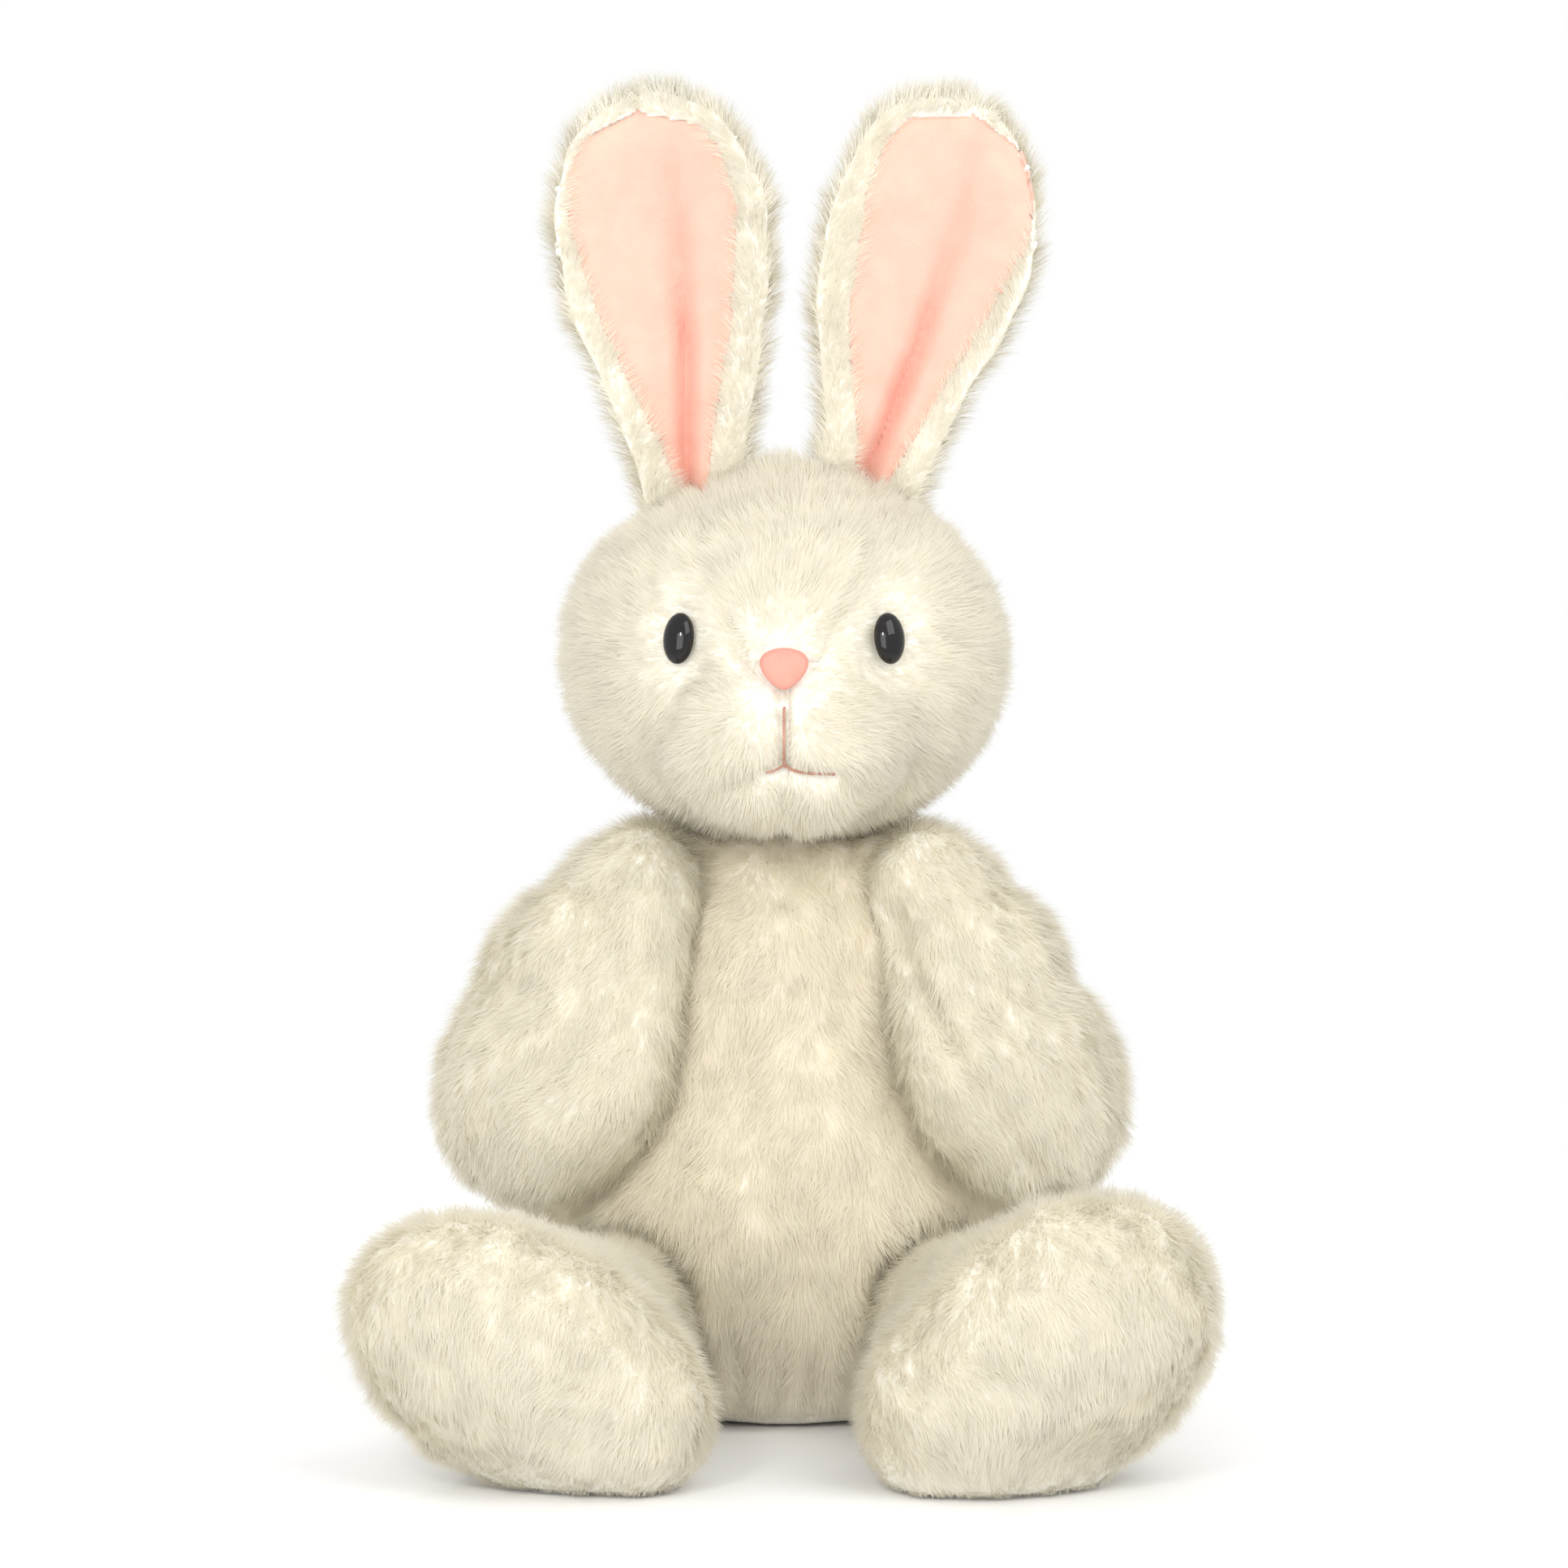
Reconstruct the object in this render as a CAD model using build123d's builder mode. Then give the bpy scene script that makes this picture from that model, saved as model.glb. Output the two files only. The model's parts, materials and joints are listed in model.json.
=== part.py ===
from build123d import *
import os
from math import cos, radians, sin

# A seated stuffed rabbit. It faces -Y, its own right side is -X, and it sits on Z = 0.
# The origin is the middle of the flat base. All sizes are millimetres.

os.makedirs("parts", exist_ok=True)

# Driving dimensions.
skin = 4.0  # fur fabric with its pile pressed flat
base_skin = 3.0  # smooth base fabric with its seam allowance
gap = 0.4  # clearance between pieces of different bodies
sliver = 0.2  # clearance between a skin and what it holds
far = 400.0  # larger than the toy

# Torso: height, half width, half depth and forward offset of each level.
torso_levels = [
    (0, 59, 51, 0),
    (9, 66, 58, -1),
    (32, 70, 61, -3),
    (55, 69, 60, -4),
    (80, 61, 53, -3),
    (107, 50, 44, -1),
    (128, 42, 37, -1),
    (141, 36, 32, -2),
]
neck_centre = (0, -2, 122)
neck_radius = 38.0
pouch_top = 24.0
side_seam_y = -6.0

# Head.
head_centre = (0, -6, 204)
head_half = (57, 50, 49)
muzzle_centre = (0, -44, 186)
muzzle_half = (30, 22, 24)
gusset_wide = 22.0
gusset_narrow = 9.0
nose_height = 207.0
gusset_widens_at = 235.0
gusset_back_drop = 30.0  # how far the gusset reaches below the head's centre behind
eye_x = 28.0
eye_height = 213.0
eye_half = (4.4, 6.9, 3.2)
stem_radius = 1.6
stem_length = 13.0
washer_radius = 6.0
washer_thickness = 1.5
washer_depth = 8.5
nose_half_width = 8.0
nose_tall = 12.5
nose_corner = 2.6
nose_pad = 2.0
thread = 0.9
mouth_top = 195.5
mouth_fork = 183.0
smile_reach = 11.0
smile_rise = 2.4

# Ears: lean outward, seam slope, base point, length and width of each.
ear_thickness = 9.0
lining_thickness = 3.0
ear_border = 7.0
lining_start = 9.0
ear_foot_share = 0.52  # width at the seam, as a share of the widest
ears = {
    "right": {"side": -1, "lean": 7, "seam": 19, "base": (-25, 2, 253), "length": 104, "width": 59},
    "left": {"side": 1, "lean": 17, "seam": 19, "base": (24, 2, 253), "length": 104, "width": 58},
}

# Arms: distance down the arm, half width and half thickness of each level.
shoulder = (38, -18, 141)
hand_end = (75, -48, 65)
shoulder_radius = 17.0
arm_width_way = (0.88, 0.47)  # which way the paddle's width runs, seen from above
arm_levels = [(0, 16, 14), (24, 22, 17), (45, 28, 19), (62, 29, 19), (76, 24, 15), (85, 14, 9), (89, 5, 4)]

# Legs.
hip = (45, -45, 26)
hip_radius = 24.0
hip_dent = 27.5
leg_end_radius = 27.0
leg_lift = 25.0  # the most that the leg turns up at the hip, in degrees
lift_steps = 3
lift_room = 0.6  # spare room round the lifted leg
foot_centre = (66, -138, 33)
foot_half = (47, 31, 24)
sole_seam = 12.0  # from the foot's centre forward to the seam of the sole
toe_angle = {"right": 30, "left": 42}
sole_out = 0.30
sole_down = 0.40

# Tail.
tail_centre = (0, 66, 34)
tail_half = (18, 17, 17)

sides = {"right": -1, "left": 1}


def egg(centre, half, inset=0.0):
    """An ellipsoid on a point or a plane, with every half size reduced by the inset."""
    with BuildPart(mode=Mode.PRIVATE) as form:
        Sphere(1)
        scale(by=tuple(h - inset for h in half))
    place = centre if isinstance(centre, Plane) else Plane(centre)
    return place.location * form.part


def block(low, high):
    """A box between two corners."""
    middle = [(a + b) / 2 for a, b in zip(low, high)]
    size = [b - a for a, b in zip(low, high)]
    return Pos(*middle) * Box(*size, mode=Mode.PRIVATE)


def ball(centre, radius):
    """A sphere about a point."""
    return Pos(*centre) * Sphere(radius, mode=Mode.PRIVATE)


def mirrored(point, side):
    """A point given for the toy's left side, on the side asked for."""
    return (side * point[0], point[1], point[2])


def torso_plain(inset):
    """The pear-shaped torso without its hollows for arms and legs."""
    floor = max(inset, 0.0) if inset != skin else base_skin
    with BuildPart(mode=Mode.PRIVATE) as form:
        for level, (height, wide, deep, y) in enumerate(torso_levels):
            z = floor if level == 0 else height
            with BuildSketch(Plane((0, y, z))):
                Ellipse(wide - inset, deep - inset)
        loft()
        add(ball(neck_centre, neck_radius - inset))
    return form.part


def thigh_form(side, inset):
    """The stub of the leg: a ball in the hip that widens towards the foot."""
    start = Vector(*mirrored(hip, side))
    end = Vector(*mirrored(foot_centre, side))
    run = Plane(origin=start, z_dir=(end - start).normalized())
    with BuildPart(mode=Mode.PRIVATE) as form:
        with BuildSketch(run):
            Circle(hip_radius - inset)
        with BuildSketch(run.offset((end - start).length)):
            Circle(leg_end_radius - inset)
        loft()
        add(ball(start, hip_radius - inset))
    return form.part


def lifted_thigh(side, angle, inset):
    """The room that the thigh takes when it has turned up by an angle about its level hip axis."""
    start = Vector(*mirrored(hip, side))
    run = Vector(*mirrored(foot_centre, side)) - start
    level_axis = Axis(start, Vector(run.Y, -run.X, 0))
    return thigh_form(side, -gap - lift_room - inset).rotate(level_axis, angle)


def torso_form(inset):
    """The torso with a hollow at each shoulder and hip."""
    with BuildPart(mode=Mode.PRIVATE) as form:
        add(torso_plain(inset))
        for side in sides.values():
            add(ball(mirrored(shoulder, side), shoulder_radius + gap + inset), mode=Mode.SUBTRACT)
            add(ball(mirrored(hip, side), hip_dent + inset), mode=Mode.SUBTRACT)
            for step in range(1, lift_steps + 1):
                lifted = lifted_thigh(side, leg_lift * step / lift_steps, inset)
                add(lifted, mode=Mode.SUBTRACT)
    return form.part


def head_form(inset):
    """Skull and muzzle, dished below where it turns on the neck."""
    with BuildPart(mode=Mode.PRIVATE) as form:
        add(egg(head_centre, head_half, inset))
        add(egg(muzzle_centre, muzzle_half, inset))
        add(ball(neck_centre, neck_radius + gap + inset), mode=Mode.SUBTRACT)
    return form.part


def arm_plane(side):
    """The arm's own plane: Z runs down the arm, X across its width."""
    start = Vector(*mirrored(shoulder, side))
    down = (Vector(*mirrored(hand_end, side)) - start).normalized()
    across = Vector(arm_width_way[0], side * arm_width_way[1], 0)
    across = (across - down * across.dot(down)).normalized()
    return Plane(origin=start, x_dir=across, z_dir=down)


def arm_form(side, inset):
    """A paddle that is round at the shoulder and hollowed where it lies on the torso."""
    plane = arm_plane(side)
    with BuildPart(mode=Mode.PRIVATE) as form:
        for distance, wide, thick in arm_levels:
            drop = min(distance, arm_levels[-1][0] - inset)
            with BuildSketch(plane.offset(drop)):
                Ellipse(max(wide - inset, 1.5), max(thick - inset, 1.0))
        loft()
        add(torso_plain(-gap - inset), mode=Mode.SUBTRACT)
        add(ball(mirrored(shoulder, side), shoulder_radius - inset))
    return form.part


def foot_plane(side, name):
    """The foot's own plane: Z is out of the sole, X runs to the toes."""
    out = Vector(side * sole_out, -1, -sole_down).normalized()
    toes = Vector(side * cos(radians(toe_angle[name])), 0, sin(radians(toe_angle[name])))
    toes = (toes - out * toes.dot(out)).normalized()
    return Plane(origin=mirrored(foot_centre, side), x_dir=toes, z_dir=out)


def leg_form(side, name, inset):
    """A stub leg from the hip ball to the back of the foot, flat where it meets the ground."""
    with BuildPart(mode=Mode.PRIVATE) as form:
        add(thigh_form(side, inset))
        add(egg(foot_plane(side, name), foot_half, inset))
        add(block((-far, -far, inset), (far, far, far)), mode=Mode.INTERSECT)
    return form.part


def finish(part, name):
    """Labels a piece, makes sure that it is one closed solid, and writes its file."""
    if len(part.solids()) != 1 or part.volume <= 0 or not part.is_valid:
        print("not one closed solid:", name, len(part.solids()), part.volume, part.is_valid)
    part.label = name
    export_step(part, f"parts/{name}.step")


# Torso.
torso_outer = torso_form(0)
torso_inner = torso_form(skin)
torso_filling = torso_form(skin + sliver)

with BuildPart() as base_panel:
    add(torso_outer)
    add(block((-far, -far, -1), (far, far, base_skin)), mode=Mode.INTERSECT)
finish(base_panel.part, "base_panel")

with BuildPart() as torso_wall:
    add(torso_outer)
    add(torso_inner, mode=Mode.SUBTRACT)
    add(block((-far, -far, base_skin), (far, far, far)), mode=Mode.INTERSECT)

with BuildPart() as belly_panel:
    add(torso_wall.part)
    add(block((-far, -far, -1), (far, side_seam_y, far)), mode=Mode.INTERSECT)
finish(belly_panel.part, "belly_panel")

for name, side in sides.items():
    x_low, x_high = sorted((0, side * far))
    with BuildPart() as back_panel:
        add(torso_wall.part)
        add(block((x_low, side_seam_y, -1), (x_high, far, far)), mode=Mode.INTERSECT)
    finish(back_panel.part, f"back_panel_{name}")

with BuildPart() as pellet_pouch:
    add(torso_filling)
    add(block((-far, -far, 0), (far, far, pouch_top)), mode=Mode.INTERSECT)
finish(pellet_pouch.part, "pellet_pouch")

with BuildPart() as torso_stuffing:
    add(torso_filling)
    add(block((-far, -far, pouch_top + sliver), (far, far, far)), mode=Mode.INTERSECT)
finish(torso_stuffing.part, "torso_stuffing")

with BuildPart() as tail_filling:
    add(egg(tail_centre, tail_half, skin))
    add(torso_plain(-skin), mode=Mode.SUBTRACT)
finish(tail_filling.part, "tail_stuffing")

with BuildPart() as tail:
    add(egg(tail_centre, tail_half))
    add(torso_plain(-sliver), mode=Mode.SUBTRACT)
    add(tail_filling.part, mode=Mode.SUBTRACT)
finish(tail.part, "tail")

# Head.
head_outer = head_form(0)
head_inner = head_form(skin)

with BuildPart() as gusset_region:
    with BuildSketch(Plane.XZ.offset(-gap)):
        with BuildLine():
            Polyline(
                (-gusset_narrow, nose_height),
                (gusset_narrow, nose_height),
                (gusset_wide, gusset_widens_at),
                (gusset_wide, far),
                (-gusset_wide, far),
                (-gusset_wide, gusset_widens_at),
                close=True,
            )
        make_face()
    extrude(amount=far)
    add(block((-gusset_wide, 0, head_centre[2] - gusset_back_drop), (gusset_wide, far, far)))

# Eyes sit square to the side of the face.
eye_pieces = {}
eye_room = []
for name, side in sides.items():
    x = side * eye_x
    spread = 1 - (x / head_half[0]) ** 2 - ((eye_height - head_centre[2]) / head_half[2]) ** 2
    face_y = head_centre[1] - head_half[1] * spread**0.5
    out = Vector(
        x / head_half[0] ** 2,
        (face_y - head_centre[1]) / head_half[1] ** 2,
        (eye_height - head_centre[2]) / head_half[2] ** 2,
    ).normalized()
    eye_plane = Plane(origin=(x, face_y, eye_height), x_dir=Vector(0, 0, 1).cross(out), z_dir=out)
    with BuildPart() as eye:
        add(egg(eye_plane, eye_half))
        add(head_outer, mode=Mode.SUBTRACT)
        with BuildSketch(eye_plane.offset(1)):
            Circle(stem_radius)
        extrude(amount=-stem_length - 1)
    finish(eye.part, f"eye_{name}")
    with BuildPart() as washer:
        with BuildSketch(eye_plane.offset(-washer_depth)):
            Circle(washer_radius)
            Circle(stem_radius + sliver, mode=Mode.SUBTRACT)
        extrude(amount=washer_thickness)
    finish(washer.part, f"eye_washer_{name}")
    with BuildPart() as room:
        with BuildSketch(eye_plane.offset(2 * stem_length)):
            Circle(stem_radius + sliver)
        extrude(amount=-3 * stem_length - sliver)
        with BuildSketch(eye_plane.offset(-washer_depth - sliver)):
            Circle(washer_radius + sliver)
        extrude(amount=washer_thickness + 2 * sliver)
    eye_room.append(room.part)

with BuildPart() as head_skin:
    add(head_outer)
    add(head_inner, mode=Mode.SUBTRACT)
    for room in eye_room:
        add(room, mode=Mode.SUBTRACT)

with BuildPart() as forehead_gusset:
    add(head_skin.part)
    add(gusset_region.part, mode=Mode.INTERSECT)
finish(forehead_gusset.part, "forehead_gusset")

for name, side in sides.items():
    x_low, x_high = sorted((0, side * far))
    with BuildPart() as head_side:
        add(head_skin.part)
        add(block((x_low, -far, 0), (x_high, far, far)), mode=Mode.INTERSECT)
        add(gusset_region.part, mode=Mode.SUBTRACT)
    finish(head_side.part, f"head_side_{name}")

with BuildPart() as head_stuffing:
    add(head_form(skin + sliver))
    for room in eye_room:
        add(room, mode=Mode.SUBTRACT)
finish(head_stuffing.part, "head_stuffing")

# The nose is a thin pad, rounded at its three corners, on the top of the muzzle.
with BuildPart() as nose_patch:
    with BuildSketch(Plane.XZ.offset(-head_centre[1])) as nose_outline:
        with BuildLine():
            Polyline(
                (-nose_half_width, nose_height + nose_tall / 3),
                (nose_half_width, nose_height + nose_tall / 3),
                (0, nose_height - nose_tall * 0.75),
                close=True,
            )
        make_face()
        fillet(nose_outline.vertices(), radius=nose_corner)
    extrude(amount=far)
    add(head_form(-nose_pad), mode=Mode.INTERSECT)
    add(head_form(-sliver / 2), mode=Mode.SUBTRACT)
finish(nose_patch.part, "nose_patch")

# Thread laid on the muzzle: a line down from the nose, and a smile.
with BuildPart() as mouth_stitching:
    with BuildSketch(Plane.XZ.offset(-head_centre[1])):
        with Locations((0, (mouth_top + mouth_fork) / 2)):
            Rectangle(thread, mouth_top - mouth_fork)
        for side in sides.values():
            with BuildLine() as smile:
                ThreePointArc(
                    (0, mouth_fork + thread / 2),
                    (side * smile_reach / 2, mouth_fork - smile_rise),
                    (side * smile_reach, mouth_fork - smile_rise / 2),
                )
                offset(amount=thread / 2, side=Side.BOTH)
            make_face()
    extrude(amount=far)
    add(head_form(-thread), mode=Mode.INTERSECT)
    add(head_form(-sliver / 2), mode=Mode.SUBTRACT)
finish(mouth_stitching.part, "mouth_stitching")


def ear_outline(length, width):
    """Long oval, widest two thirds up and narrow at the seam."""
    half = width / 2
    foot = half * ear_foot_share
    with BuildSketch(mode=Mode.PRIVATE) as outline:
        with BuildLine():
            Spline(
                (foot, 0),
                (half * 0.86, length * 0.36),
                (half, length * 0.68),
                (half * 0.66, length * 0.92),
                (0, length),
                (-half * 0.66, length * 0.92),
                (-half, length * 0.68),
                (-half * 0.86, length * 0.36),
                (-foot, 0),
            )
            Line((-foot, 0), (foot, 0))
        make_face()
    return outline.sketch


for name, ear in ears.items():
    side = ear["side"]
    base = Vector(*ear["base"])
    seam = radians(-side * ear["seam"])
    lean = radians(side * ear["lean"])
    along_seam = Vector(cos(seam), 0, sin(seam))
    up = Vector(sin(lean), 0, cos(lean))
    across = Vector(cos(lean), 0, -sin(lean))
    front = Plane(origin=base, x_dir=across, z_dir=(0, -1, 0))
    round_base = Plane(origin=base, x_dir=(0, 1, 0), z_dir=along_seam)
    outline = ear_outline(ear["length"], ear["width"])
    lining_outline = ear_outline(ear["length"] - lining_start - ear_border, ear["width"] - 2 * ear_border)
    seam_plane = Plane(origin=base, x_dir=along_seam, z_dir=(0, -1, 0))
    above_seam = seam_plane.location * Box(far, far, far, align=(Align.CENTER, Align.MIN, Align.CENTER))
    foot = ear["width"] / 2 * ear_foot_share
    half = ear_thickness / 2
    with BuildPart() as whole_ear:
        with BuildSketch(front.offset(-half)):
            add(outline)
        extrude(amount=ear_thickness)
        add(above_seam, mode=Mode.INTERSECT)
        with BuildSketch(round_base.offset(-foot)):
            Circle(half)
        extrude(amount=2 * foot)
    with BuildPart() as lining:
        with BuildSketch(front.offset(half - lining_thickness)):
            add(Pos(0, lining_start) * lining_outline)
        extrude(amount=lining_thickness)
    finish(lining.part, f"ear_{name}_lining")
    with BuildPart() as ear_back:
        add(whole_ear.part)
        add(lining.part, mode=Mode.SUBTRACT)
    finish(ear_back.part, f"ear_{name}_back")

# Arms: a front and a back panel over the filling. The left arm mirrors the right one.
right = sides["right"]
arm_down = arm_plane(right)
facing_away = Vector(0, -1, 0) - arm_down.z_dir * Vector(0, -1, 0).dot(arm_down.z_dir)
arm_parting = Plane(origin=arm_down.origin, z_dir=facing_away)
arm_outer = arm_form(right, 0)
arm_inner = arm_form(right, skin)
arm_filling = arm_form(right, skin + sliver)
with BuildPart() as arm_skin:
    add(arm_outer)
    add(arm_inner, mode=Mode.SUBTRACT)
for name in sides:
    for part_name, keep in (("front", Keep.TOP), ("back", Keep.BOTTOM)):
        with BuildPart() as arm_panel:
            add(arm_skin.part)
            split(bisect_by=arm_parting, keep=keep)
            if name == "left":
                mirror(about=Plane.YZ, mode=Mode.REPLACE)
        finish(arm_panel.part, f"arm_{name}_{part_name}")
    with BuildPart() as arm_stuffing:
        add(arm_filling)
        if name == "left":
            mirror(about=Plane.YZ, mode=Mode.REPLACE)
    finish(arm_stuffing.part, f"arm_{name}_stuffing")

# Legs: an outer and an inner panel, a sole and the filling.
for name, side in sides.items():
    outer = leg_form(side, name, 0)
    inner = leg_form(side, name, skin)
    sole_plane = foot_plane(side, name).offset(sole_seam)
    start = Vector(*mirrored(hip, side))
    run = Vector(*mirrored(foot_centre, side)) - start
    parting = Plane(origin=start, z_dir=run.cross(Vector(0, 0, 1)) * -side)
    with BuildPart() as leg_skin:
        add(outer)
        add(inner, mode=Mode.SUBTRACT)
    with BuildPart() as sole:
        add(leg_skin.part)
        split(bisect_by=sole_plane, keep=Keep.TOP)
    finish(sole.part, f"foot_{name}_sole")
    for part_name, keep in (("outer", Keep.TOP), ("inner", Keep.BOTTOM)):
        with BuildPart() as leg_panel:
            add(leg_skin.part)
            split(bisect_by=sole_plane, keep=Keep.BOTTOM)
            split(bisect_by=parting, keep=keep)
        finish(leg_panel.part, f"leg_{name}_{part_name}")
    with BuildPart() as leg_stuffing:
        add(leg_form(side, name, skin + sliver))
    finish(leg_stuffing.part, f"leg_{name}_stuffing")
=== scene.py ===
"""A seated plush rabbit: stuffed forms, fur-fabric panels with real pile, lined ears and a stitched face.

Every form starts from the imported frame's own nodes, so each piece is where the frame has it. All in metres.
"""

import json
import math
from itertools import product

import bmesh
import bpy
import numpy as np
from mathutils import Matrix, Vector
from mathutils.bvhtree import BVHTree

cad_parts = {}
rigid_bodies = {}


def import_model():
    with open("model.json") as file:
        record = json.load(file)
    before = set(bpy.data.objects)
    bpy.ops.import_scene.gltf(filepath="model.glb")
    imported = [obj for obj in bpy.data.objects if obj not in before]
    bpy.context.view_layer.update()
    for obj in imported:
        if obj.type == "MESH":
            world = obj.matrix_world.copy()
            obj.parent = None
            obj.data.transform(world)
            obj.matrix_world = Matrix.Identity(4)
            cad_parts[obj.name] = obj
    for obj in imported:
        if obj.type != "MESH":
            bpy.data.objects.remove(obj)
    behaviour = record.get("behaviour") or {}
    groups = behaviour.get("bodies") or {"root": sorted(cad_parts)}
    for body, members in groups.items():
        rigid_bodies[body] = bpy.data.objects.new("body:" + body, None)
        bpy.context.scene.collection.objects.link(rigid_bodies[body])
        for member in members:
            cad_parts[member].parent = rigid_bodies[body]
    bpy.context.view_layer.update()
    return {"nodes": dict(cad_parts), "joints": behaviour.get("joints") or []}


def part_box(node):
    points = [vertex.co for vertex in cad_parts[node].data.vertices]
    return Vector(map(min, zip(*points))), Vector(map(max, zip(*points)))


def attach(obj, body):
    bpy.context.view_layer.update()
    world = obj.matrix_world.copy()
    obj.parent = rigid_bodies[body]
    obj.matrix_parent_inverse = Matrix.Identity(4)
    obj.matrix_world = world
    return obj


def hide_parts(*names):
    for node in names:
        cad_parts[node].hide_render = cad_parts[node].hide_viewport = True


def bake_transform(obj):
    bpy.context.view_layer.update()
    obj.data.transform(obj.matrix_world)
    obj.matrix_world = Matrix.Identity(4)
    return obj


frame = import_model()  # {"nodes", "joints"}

MM = 0.001
JOINTS = {joint["name"]: joint for joint in frame["joints"]}
SIDES = {"right": -1, "left": 1}
FLOOR_CLEARANCE = 0.3 * MM

# ------------------------------------------------------------------ pile and cloth: the driving values
PILE_LENGTH = 8.8 * MM
PILE_WIDTH = 0.30 * MM
PILE_LEAN = 60  # degrees from upright
PILE_LEAN_SPREAD = 9
PILE_ROLL = 0.24  # how far the strands turn about their own length, in radians
PILE_SWAY_WIDE = 0.24  # how far the pile turns from its comb over 30 mm, in radians
PILE_SWAY_FINE = 0.14  # the same over 9 mm
PILE_SWAY_EACH = 0.2  # the same strand by strand
ROOT_DEPTH = 0.4 * MM  # how far a strand starts inside its cloth
PRESSED_LAYER = 0.7 * MM  # how thick the pile lies where it is pressed on the floor
SOFT_SHADE = 0.7  # share of the cloth's own direction in a strand's shading
LIGHT_THROUGH = 0.5  # share of the light that passes through a strand
PILE_DENSITY = 3.4e6  # strands on a square metre
PILE_ROOM = 0.6 * MM  # how far the cloth lies inside the frame's outer surface
TOUCH_REACH = 9 * MM  # nearer than this to another body, the pile is crushed and needs less room
CLOTH_THICKNESS = 0.9 * MM
FILLING_GAP = 0.6 * MM  # between a cloth and the filling under it
CLUMP_SIZE = 4.2 * MM
SEAM_HELD = 2.2 * MM  # points this near to two panels are held while the form swells
SEAM_WIDTH = 2.2 * MM
SWELL_FRAMES = 16
WAVE_COUNT = 9  # waves that make up a smooth noise


# ------------------------------------------------------------------ small vector tools
def unit(vectors):
    length = np.linalg.norm(vectors, axis=-1, keepdims=True)
    return vectors / np.maximum(length, 1e-12)


def middle(node):
    low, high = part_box(node)
    return np.array((low + high) / 2)


def tangent(directions, normals):
    """The part of each direction that lies along the surface."""
    return unit(directions - (directions * normals).sum(1, keepdims=True) * normals)


def smooth_step(values, low, high):
    share = np.clip((values - low) / (high - low), 0, 1)
    return share * share * (3 - 2 * share)


def hump(distance, width):
    return np.exp(-((distance / width) ** 2))


def noise(points, size, seed):
    """Smooth seeded values with a spread of about 1, which change over the given size."""
    rng = np.random.default_rng(seed)
    ways = unit(rng.normal(size=(WAVE_COUNT, 3)))
    waves = ways * rng.uniform(0.6, 1.5, (WAVE_COUNT, 1)) * 2 * math.pi / size
    phases = rng.uniform(0, 2 * math.pi, WAVE_COUNT)
    return np.sin(points @ waves.T + phases).sum(1) / math.sqrt(WAVE_COUNT / 2)


def to_clump(points, size, seed):
    """The way from each point to the nearest of a set of scattered clump centres."""
    cell = np.floor(points / size)
    keys = np.random.default_rng(seed).uniform(20, 90, (3, 3))
    nearest = np.full(len(points), np.inf)
    way = np.zeros_like(points)
    for step in product((-1, 0, 1), repeat=3):
        corner = cell + step
        scatter = np.abs(np.modf(np.sin(corner @ keys) * 4375.85)[0])
        offset = (corner + scatter) * size - points
        distance = (offset ** 2).sum(1)
        closer = distance < nearest
        nearest[closer] = distance[closer]
        way[closer] = offset[closer]
    return way


# ------------------------------------------------------------------ materials
def new_material(name, colour, roughness=0.9, sheen=0.0, specular=0.25):
    material = bpy.data.materials.new(name)
    material.use_nodes = True
    shader = material.node_tree.nodes["Principled BSDF"]
    shader.inputs["Base Color"].default_value = (*colour, 1)
    shader.inputs["Roughness"].default_value = roughness
    shader.inputs["Specular IOR Level"].default_value = specular
    shader.inputs["Sheen Weight"].default_value = sheen
    shader.inputs["Sheen Roughness"].default_value = 0.5
    return material, material.node_tree, shader


def mottled(tree, shader, colours, scale, detail=3.0):
    """Noise through a colour ramp, as the base colour."""
    spot = tree.nodes.new("ShaderNodeTexCoord")
    texture = tree.nodes.new("ShaderNodeTexNoise")
    texture.inputs["Scale"].default_value = scale
    texture.inputs["Detail"].default_value = detail
    ramp = tree.nodes.new("ShaderNodeValToRGB")
    ramp.color_ramp.elements[0].position = 0.35
    ramp.color_ramp.elements[1].position = 0.65
    for element, colour in zip(ramp.color_ramp.elements, colours):
        element.color = (*colour, 1)
    tree.links.new(spot.outputs["Object"], texture.inputs["Vector"])
    tree.links.new(texture.outputs["Fac"], ramp.inputs["Fac"])
    tree.links.new(ramp.outputs["Color"], shader.inputs["Base Color"])
    return spot, ramp


def nap(tree, shader, spot, scale, strength, distance):
    """A fine bump from noise."""
    texture = tree.nodes.new("ShaderNodeTexNoise")
    texture.inputs["Scale"].default_value = scale
    texture.inputs["Detail"].default_value = 4
    bump = tree.nodes.new("ShaderNodeBump")
    bump.inputs["Strength"].default_value = strength
    bump.inputs["Distance"].default_value = distance
    tree.links.new(spot.outputs["Object"], texture.inputs["Vector"])
    tree.links.new(texture.outputs["Fac"], bump.inputs["Height"])
    tree.links.new(bump.outputs["Normal"], shader.inputs["Normal"])


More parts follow.
